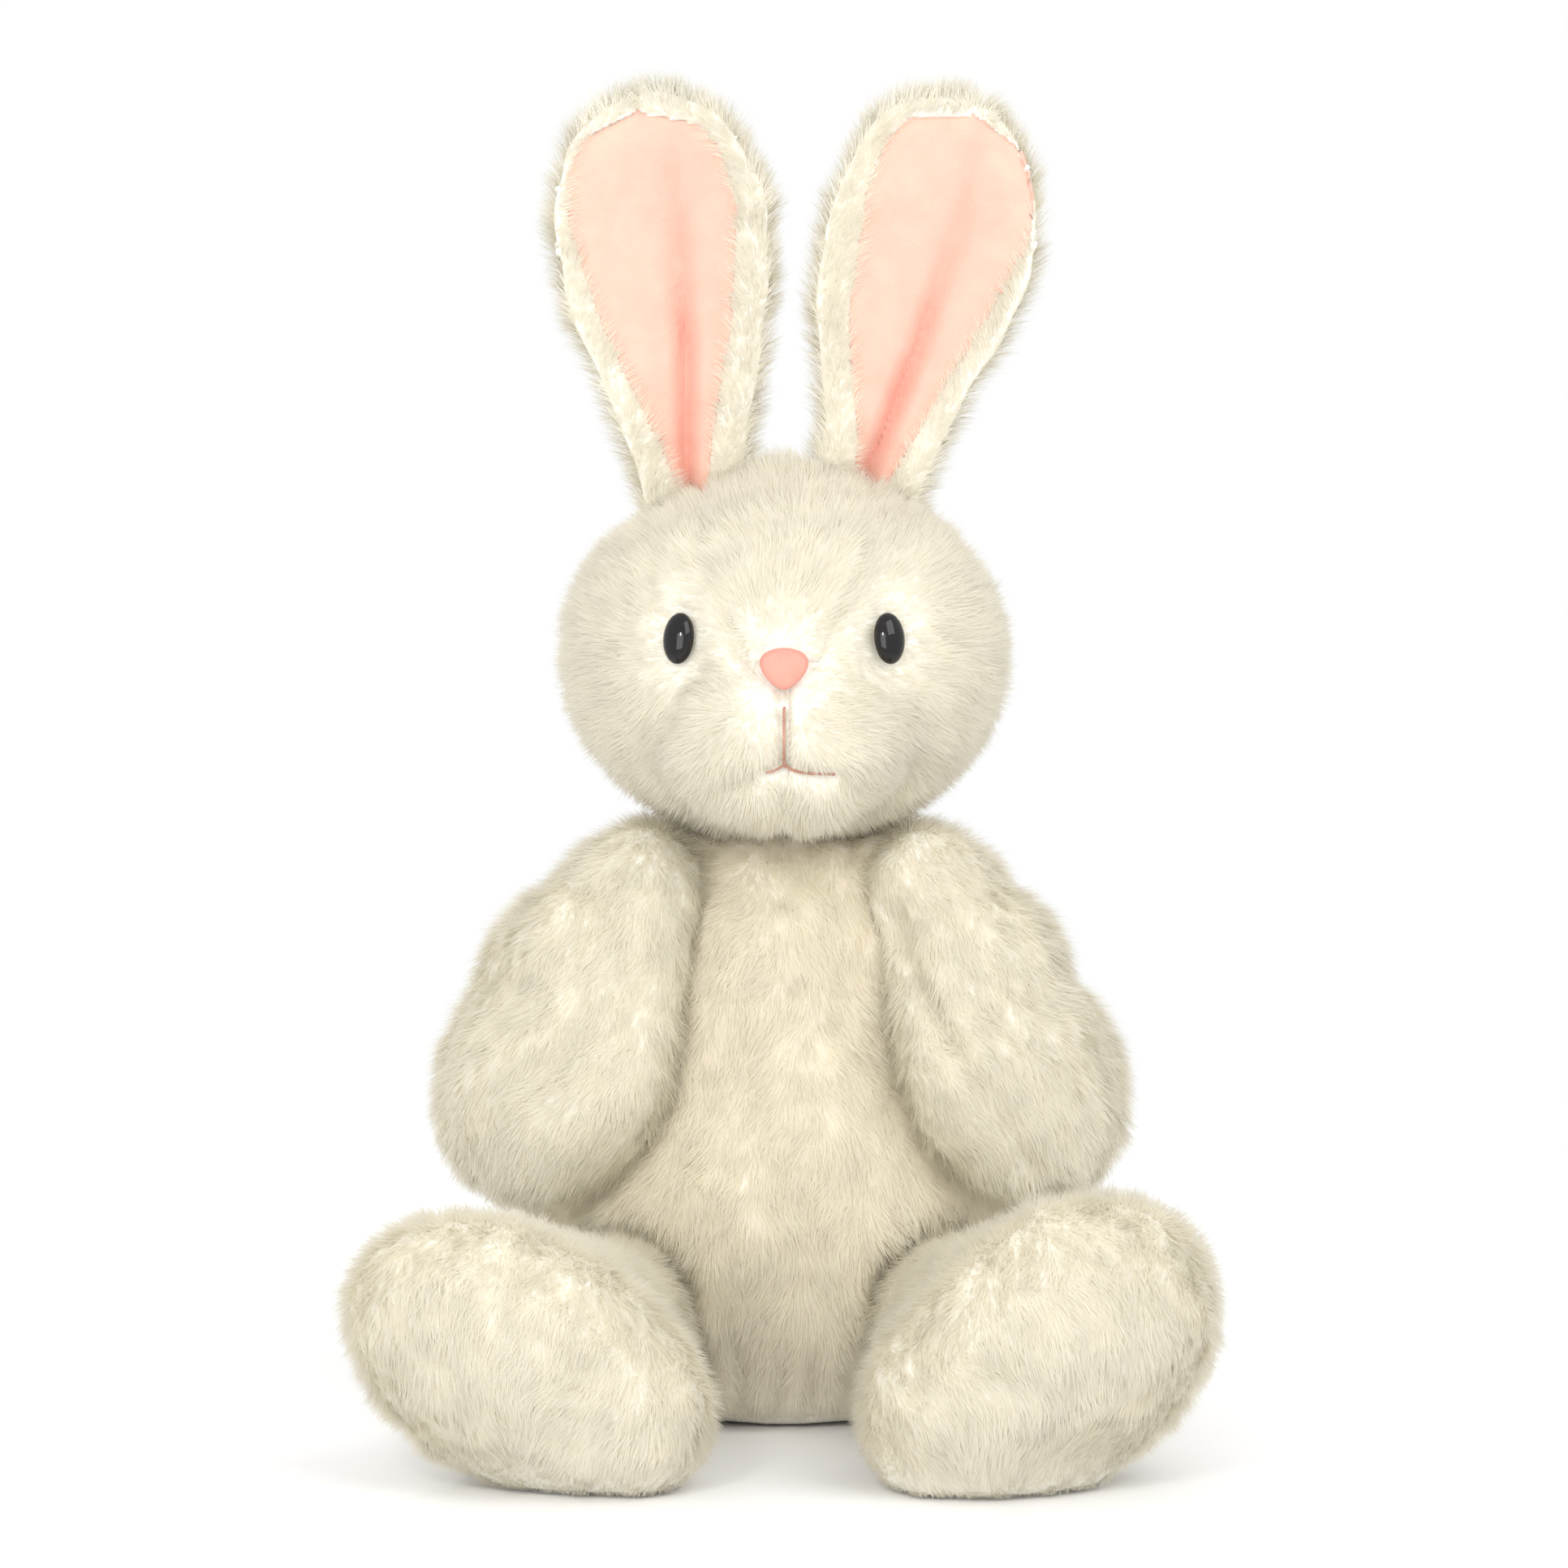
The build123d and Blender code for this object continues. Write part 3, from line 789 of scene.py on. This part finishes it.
def colour_eyes():
    """The eyes and their washers are the frame's own solids, in new materials."""
    for side in SIDES:
        for node, material in ((f"eye_{side}", EYE_PLASTIC), (f"eye_washer_{side}", WASHER)):
            mesh = frame["nodes"][node].data
            mesh.materials.clear()
            mesh.materials.append(material)


def nose_piece():
    """A small crowned velour pad: an egg shape, wide above and round below, that lies on the face's slope."""
    work = bmesh.new()
    bmesh.ops.create_uvsphere(work, u_segments=48, v_segments=32, radius=1)
    mesh = bpy.data.meshes.new("nose_pad")
    work.to_mesh(mesh)
    work.free()
    points = mesh_arrays(mesh)[0]
    low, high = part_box("nose_patch")
    x, y, z = points.T
    rise = np.sign(z) * np.abs(z) ** 0.9
    wide = x * (1 + 0.34 * rise - 0.10 * rise * rise)
    deep = y * NOSE_DEPTH
    tall = rise * (high.z - low.z) / 2 * 0.98
    points = np.stack([wide * (high.x - low.x) / 2 * 1.02, deep + NOSE_SLOPE * tall, tall], axis=1) + NOSE
    points[:, 1] -= NOSE_PROUD
    points[:, 2] += 0.6 * MM
    set_points(mesh, points)
    piece = add_object("nose_pad", mesh)
    # painted shade: the fold attribute deepens the pad's colour towards its rim, where it meets the fur
    edge = np.clip(np.hypot(x, z), 0, 1)
    fold = mesh.attributes.new("fold", "FLOAT", "POINT")
    fold.data.foreach_set("value", (0.8 * smooth_step(edge, 0.82, 0.99)).astype(np.float32))
    finish_piece(piece, [NOSE_VELOUR])
    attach(piece, "head")
    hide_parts("nose_patch")


def tube(path, radius, sides=6):
    """Points and faces of a closed tube along a path."""
    ways = unit(np.gradient(path, axis=0))
    side = unit(np.cross(ways, np.array([0.0, 1.0, 0.01])))
    other = np.cross(ways, side)
    points, faces = [], []
    for ring in range(len(path)):
        for corner in range(sides):
            turn = 2 * math.pi * corner / sides
            points.append(path[ring] + radius * (side[ring] * math.cos(turn) + other[ring] * math.sin(turn)))
    for ring in range(len(path) - 1):
        for corner in range(sides):
            after = (corner + 1) % sides
            faces.append((ring * sides + corner, ring * sides + after,
                          (ring + 1) * sides + after, (ring + 1) * sides + corner))
    faces.append(tuple(range(sides))[::-1])
    faces.append(tuple((len(path) - 1) * sides + corner for corner in range(sides)))
    return np.array(points), faces


def mouth_piece(head):
    """Two plies of thread, twisted round each other, for the line under the nose and for the smile."""
    tree = BVHTree.FromPolygons(head.points.tolist(), head.triangles.tolist())
    routes = [[(0.0, z) for z in np.linspace(NOSE[2] - 9.5 * MM, MOUTH_FORK, 24)]]
    for reach in SMILE_REACH:
        routes.append([(x, mouth_height(x)) for x in np.linspace(0, reach, 24)])
    points, faces = np.zeros((0, 3)), []
    for route in routes:
        path = []
        for x, z in route:
            hit = tree.ray_cast(Vector((x, -0.2, z)), Vector((0, 1, 0)))[0]
            path.append((x, hit.y - THREAD_PROUD, z))
        fine = np.linspace(0, len(path) - 1, 96)
        path = np.stack([np.interp(fine, range(len(path)), axis) for axis in np.array(path).T], axis=1)
        turns = np.linspace(0, 2 * math.pi * 8, len(path))
        for phase in (0, math.pi):
            ply = path.copy()
            ply[:, 1] += 0.22 * MM * np.cos(turns + phase)
            ply[:, 0] += 0.16 * MM * np.sin(turns + phase)
            ply[:, 2] += 0.16 * MM * np.sin(turns + phase)
            ring, sides = tube(ply, THREAD_PLY)
            faces += [tuple(i + len(points) for i in face) for face in sides]
            points = np.vstack([points, ring])
    piece = add_object("mouth_thread", mesh_from("mouth_thread", points.tolist(), faces))
    finish_piece(piece, [THREAD])
    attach(piece, "head")
    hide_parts("mouth_stitching")


head_form = make_head()
colour_eyes()
nose_piece()
mouth_piece(head_form)


# ------------------------------------------------------------------ ears
EAR_HALF = 29 * MM
EAR_SHIFT = {"right": 0, "left": -1}  # the left ear stands a little more upright than its own frame
SNAP = 0.55 * MM  # points this near to the lining's outline are moved onto it
# Half width of the pink lining at shares of the ear's length, and where its crease runs across the ear.
LINING_WIDTHS = [(-0.06, 2.5), (0.15, 9.5), (0.37, 17), (0.66, 23), (0.80, 21.5), (0.89, 15.5), (0.94, 0)]
CREASE_LINES = {"right": [(0, -1.5), (0.33, 3.5), (0.85, 7)], "left": [(0, -1.5), (0.33, 4), (0.85, 3.5)]}


def along_table(table, share):
    """A smooth-enough value in metres from (share, millimetres) pairs."""
    shares, values = zip(*table)
    return np.interp(share, shares, values) * MM


def ear_frame(side):
    """The ear's seam point, its long way, its width way and its length."""
    base = np.array(JOINTS[f"ear_{side}_fold"]["pos_m"])
    up = middle(f"ear_{side}_lining") - base
    up[1] = 0
    up = unit(up)
    across = np.cross(np.array([0.0, 1.0, 0.0]), up)
    length = (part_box(f"ear_{side}_back")[1].z - base[2]) / up[2]
    return base, up, across, length


def ear_tools(side):
    """The ear's sculpting, the way its pile runs, which points are lining, and where its pile is short."""
    base, up, sideways, length = ear_frame(side)

    def own_frame(points):
        offset = points - base
        return (offset @ up) / length, offset @ sideways

    def assign(points, normals):
        """Which points are lining: the front, inside the lining's outline."""
        along, across = own_frame(points)
        inside = along_table(LINING_WIDTHS, along) - np.abs(across)
        facing = normals[:, 1] < -0.35
        close = facing & (np.abs(inside) < SNAP)
        points[close] += (np.sign(across[close]) * inside[close])[:, None] * sideways
        return (facing & (inside > -SNAP)).astype(int), np.abs(inside)

    def shape(form, points, normals):
        """Cups the ear, sinks a crease that is sharp in the lower half, and sets the ear's foot in the head."""
        along, across = own_frame(points)
        front = smooth_step(base[1] - points[:, 1], -2 * MM, 2 * MM)
        away = np.abs(across - along_table(CREASE_LINES[side], along))
        low = 1 - smooth_step(along, 0.25, 0.8)
        wide = (11 - 8.2 * low) * MM
        depth = (2.4 + 3.4 * low) * MM * (1 - smooth_step(along, 0.8, 0.95))
        crease = depth * np.exp(-away / wide) * (0.4 + 0.6 * front)
        crease -= 1.7 * MM * hump(away - 4.5 * MM, 3 * MM) * low * front
        cup = 6.0 * MM * (across / EAR_HALF) ** 2 * (0.35 + 0.65 * smooth_step(along, 0.0, 0.3))
        points = points.copy()
        points[:, 1] += crease - cup + 1.5 * MM * smooth_step(along, 0.1, 0.5)
        foot = 1 - smooth_step(along, -0.05, 0.07)
        points -= (7 * MM * foot)[:, None] * up
        aside = EAR_SHIFT[side] * (3.5 * smooth_step(along, 0, 0.35) + 2.5 * smooth_step(along, 0.6, 1)) * MM
        points += aside[:, None] * sideways
        # form.fold: how near each point lies to the crease, which the lining's velour turns into painted shade
        sharp = np.exp(-away / (2.4 * MM)) * (1 - smooth_step(along, 0.35, 0.8)) * 0.8
        soft = 0.45 * np.exp(-away / (7 * MM)) * (1 - smooth_step(along, 0.7, 0.95))
        form.fold = np.maximum(sharp, soft)
        return points + normals * (0.35 * MM * noise(points, 22 * MM, 31))[:, None]

    def comb(points):
        """Up the ear and a little outwards, but in over the lining's edge beside it."""
        along, across = own_frame(points)
        outside = np.abs(across) - along_table(LINING_WIDTHS, along)
        turn = 0.45 * across / EAR_HALF - 1.1 * np.sign(across) * hump(outside, 4.5 * MM)
        return up + turn[:, None] * sideways

    def thin(root, normal, seam):
        """The border's pile stands short next to the lining."""
        along, across = own_frame(root)
        inside = along_table(LINING_WIDTHS, along) - np.abs(across)
        front = normal[:, 1] < -0.2
        short = np.where(front, 0.8 + 0.2 * smooth_step(-inside, 0, 6 * MM), 1.0)
        return np.ones(len(root)), short

    return shape, comb, assign, thin


def make_ear(side, seed):
    shape, comb, assign, thin = ear_tools(side)
    back, lining = f"ear_{side}_back", f"ear_{side}_lining"
    ear = Form(f"ear_{side}", f"ear_{side}", [back, lining], [], voxel=2.0 * MM, smoothing=3, room=1.0 * MM,
               pressure=0, sculpt=shape, bare=[lining], seam_depth=0.8 * MM, assign=assign)
    cloth_piece(ear, back, CREAM_BACKING)
    pile_piece(ear, back, CREAM_PILE, comb, seed, length=8.4 * MM, lean=46, thin=thin)
    velvet = cloth_piece(ear, lining, EAR_VELOUR)
    # the lining takes the crease's fold values, for the painted shade in its creases
    tree = BVHTree.FromPolygons(ear.points.tolist(), ear.triangles.tolist())
    spots = mesh_arrays(velvet.data)[0]
    near = [ear.triangles[tree.find_nearest(spot)[2]][0] for spot in spots.tolist()]
    fold = velvet.data.attributes.new("fold", "FLOAT", "POINT")
    fold.data.foreach_set("value", np.clip(ear.fold[near], 0, 1).astype(np.float32))


for number, side in enumerate(SIDES):
    make_ear(side, 300 + 20 * number)


# ------------------------------------------------------------------ arms
def gentle_folds(seed, size=0.5, line=None, plump=0.0, start=None, plump_from=0.0):
    """Soft uneven swells, fuller past a distance from the joint, and on some pieces one long fold."""
    def shape(form, points, normals):
        swells = size * noise(points, 38 * MM, seed) + 0.2 * noise(points, 14 * MM, seed + 1)
        away = np.linalg.norm(points - start, axis=1)
        swells += plump * smooth_step(away, plump_from, plump_from + 25 * MM)
        if line is not None:
            away = np.min([distance_to_span(points[:, [0, 2]], a, b) for a, b in zip(line, line[1:])], axis=0)
            swells -= 2.6 * hump(away, 2.6 * MM) * smooth_step(-normals[:, 1], 0.1, 0.5)
        return points + normals * (swells * MM)[:, None]
    return shape


def distance_to_span(points, start, end):
    """From points on a plane to the straight span between two of them."""
    run = end - start
    share = np.clip(((points - start) @ run) / (run @ run), 0, 1)
    return np.linalg.norm(points - start - share[:, None] * run, axis=1)


ARM_PLUMP = {"right": 3.4, "left": 2.4}  # millimetres
SHOULDER_FILL = {"right": (14, -2, -24, 25), "left": (12, -2, -24, 25)}  # outwards, back, up and radius
ARM_FOLD = np.array([(-9, -2), (7, -37), (37, -79)]) * MM  # from the left shoulder: across and up


def make_arm(side, number):
    panels = [f"arm_{side}_front", f"arm_{side}_back"]
    shoulder = np.array(JOINTS[f"arm_{side}_lift"]["pos_m"])
    run = unit(middle(panels[0]) - shoulder)
    fold_line = shoulder[[0, 2]] + ARM_FOLD if side == "left" else None
    out, back, rise, radius = SHOULDER_FILL[side]
    balls = [(Vector(shoulder + np.array([SIDES[side] * 4, 2, -5]) * MM), 18 * MM),
             (Vector(shoulder + np.array([SIDES[side] * out, back, rise]) * MM), radius * MM)]
    arm = Form(f"arm_{side}", f"arm_{side}", panels, [f"arm_{side}_stuffing"], smoothing=10, pressure=20,
               cap=3 * MM, balls=balls, touching=["belly_panel", f"back_panel_{side}"],
               sculpt=gentle_folds(41 + number, line=fold_line, plump=ARM_PLUMP[side], start=shoulder))
    filling_piece(arm, f"arm_{side}_stuffing")

    def comb(points):
        """Down the arm, and out from a point a little below the shoulder."""
        return run + 4 * (points - shoulder - run * 50 * MM)

    for part, panel in enumerate(panels):
        cloth_piece(arm, panel, CREAM_BACKING)
        pile_piece(arm, panel, CREAM_PILE, comb, 400 + 40 * number + 10 * part)


for number, side in enumerate(SIDES):
    make_arm(side, number)


# ------------------------------------------------------------------ legs
LEG_PLUMP = {"right": 3.8, "left": 5.4}  # millimetres


def make_leg(side, number):
    panels = [f"leg_{side}_outer", f"leg_{side}_inner", f"foot_{side}_sole"]
    hip = np.array(JOINTS[f"leg_{side}_lift"]["pos_m"])
    sole = middle(panels[2])
    run = unit(sole - hip)
    leg = Form(f"leg_{side}", f"leg_{side}", panels, [f"leg_{side}_stuffing"], voxel=3.4 * MM, pressure=20,
               cap=2 * MM, seam_depth=-1.0 * MM, lowest=1.4 * MM, touching=["belly_panel"],
               sculpt=gentle_folds(51 + number, plump=LEG_PLUMP[side], start=hip, plump_from=48 * MM))
    filling_piece(leg, f"leg_{side}_stuffing")

    def comb(points):
        """Down the leg, then out and down from the middle of the sole."""
        return run + np.array([0, 0, -0.75]) + 5 * (points - sole)

    for part, panel in enumerate(panels):
        cloth_piece(leg, panel, CREAM_BACKING)
        seed = 500 + 60 * number + 10 * part
        pile_piece(leg, panel, CREAM_PILE, comb, seed, thin=pressed_below)


for number, side in enumerate(SIDES):
    make_leg(side, number)

for spent in [o for o in bpy.context.scene.objects if o.name.endswith("_form")]:
    bpy.data.objects.remove(spent)


# ------------------------------------------------------------------ floor, light and camera
FLOOR_RADIUS = 4.0
FLOOR_FADE = (0.15, 0.6)  # the floor fades into the white background between these distances from the middle
SKY_STRENGTH = 0.88
LAMPS = [("key", (0.9, -1.1, 1.35), 1.2, 11.5),  # name, place, size in metres and power in watts
         ("fill", (-0.5, -1.8, 0.4), 1.2, 11.5),
         ("back", (-0.7, 1.6, 1.1), 1.2, 10),
         ("eye_light", (-0.35, -1.3, 0.75), 0.16, 3.0)]
LAMP_TARGET = Vector((0, 0, 0.17))
CAMERA_TARGET = Vector((0, 0, 0.168))
CAMERA_DISTANCE = 3.0
CAMERA_ELEVATION = math.radians(7)
SEEN_WIDTH = 0.425


def make_floor():
    """White paper that fades out with distance, so that no edge or horizon shows."""
    corners = [(math.cos(a) * FLOOR_RADIUS, math.sin(a) * FLOOR_RADIUS, 0)
               for a in np.linspace(0, 2 * math.pi, 64, endpoint=False)]
    floor = add_object("floor", mesh_from("floor", corners, [tuple(range(len(corners)))]))
    material, tree, shader = new_material("floor_paper", (0.93, 0.93, 0.93), 0.9)
    spot = tree.nodes.new("ShaderNodeTexCoord")
    length = tree.nodes.new("ShaderNodeVectorMath")
    length.operation = "LENGTH"
    fade = tree.nodes.new("ShaderNodeMapRange")
    fade.inputs["From Min"].default_value, fade.inputs["From Max"].default_value = FLOOR_FADE
    clear = tree.nodes.new("ShaderNodeBsdfTransparent")
    mix = tree.nodes.new("ShaderNodeMixShader")
    output = next(n for n in tree.nodes if n.type == "OUTPUT_MATERIAL")
    tree.links.new(spot.outputs["Object"], length.inputs[0])
    tree.links.new(length.outputs["Value"], fade.inputs["Value"])
    tree.links.new(fade.outputs["Result"], mix.inputs[0])
    tree.links.new(shader.outputs[0], mix.inputs[1])
    tree.links.new(clear.outputs[0], mix.inputs[2])
    tree.links.new(mix.outputs[0], output.inputs["Surface"])
    floor.data.materials.append(material)


def make_sky():
    """Even light from all round, and pure white where the camera sees the background."""
    world = bpy.data.worlds.new("studio")
    world.use_nodes = True
    tree = world.node_tree
    sky = tree.nodes["Background"]
    sky.inputs["Color"].default_value = (1, 1, 1, 1)
    sky.inputs["Strength"].default_value = SKY_STRENGTH
    seen = tree.nodes.new("ShaderNodeBackground")
    seen.inputs["Strength"].default_value = 1.0
    seen.inputs["Color"].default_value = (1, 1, 1, 1)
    path = tree.nodes.new("ShaderNodeLightPath")
    either = tree.nodes.new("ShaderNodeMixShader")
    output = next(n for n in tree.nodes if n.type == "OUTPUT_WORLD")
    tree.links.new(path.outputs["Is Camera Ray"], either.inputs[0])
    tree.links.new(sky.outputs[0], either.inputs[1])
    tree.links.new(seen.outputs[0], either.inputs[2])
    tree.links.new(either.outputs[0], output.inputs["Surface"])
    bpy.context.scene.world = world


def make_lamps():
    for name, spot, size, power in LAMPS:
        lamp = bpy.data.lights.new(name, "AREA")
        lamp.size = size
        lamp.energy = power
        lamp_object = bpy.data.objects.new(name, lamp)
        lamp_object.location = spot
        lamp_object.rotation_euler = (LAMP_TARGET - Vector(spot)).to_track_quat("-Z", "Y").to_euler()
        bpy.context.scene.collection.objects.link(lamp_object)


def make_camera():
    """A long lens from the front, a little above the toy's middle."""
    camera = bpy.data.cameras.new("camera")
    camera.lens = camera.sensor_width * CAMERA_DISTANCE / SEEN_WIDTH
    view = bpy.data.objects.new("camera", camera)
    away = Vector((0, -math.cos(CAMERA_ELEVATION), math.sin(CAMERA_ELEVATION)))
    view.location = CAMERA_TARGET + away * CAMERA_DISTANCE
    view.rotation_euler = (CAMERA_TARGET - view.location).to_track_quat("-Z", "Y").to_euler()
    bpy.context.scene.collection.objects.link(view)
    bpy.context.scene.camera = view


make_floor()
make_sky()
make_lamps()
make_camera()
bpy.context.scene.view_settings.view_transform = "Standard"
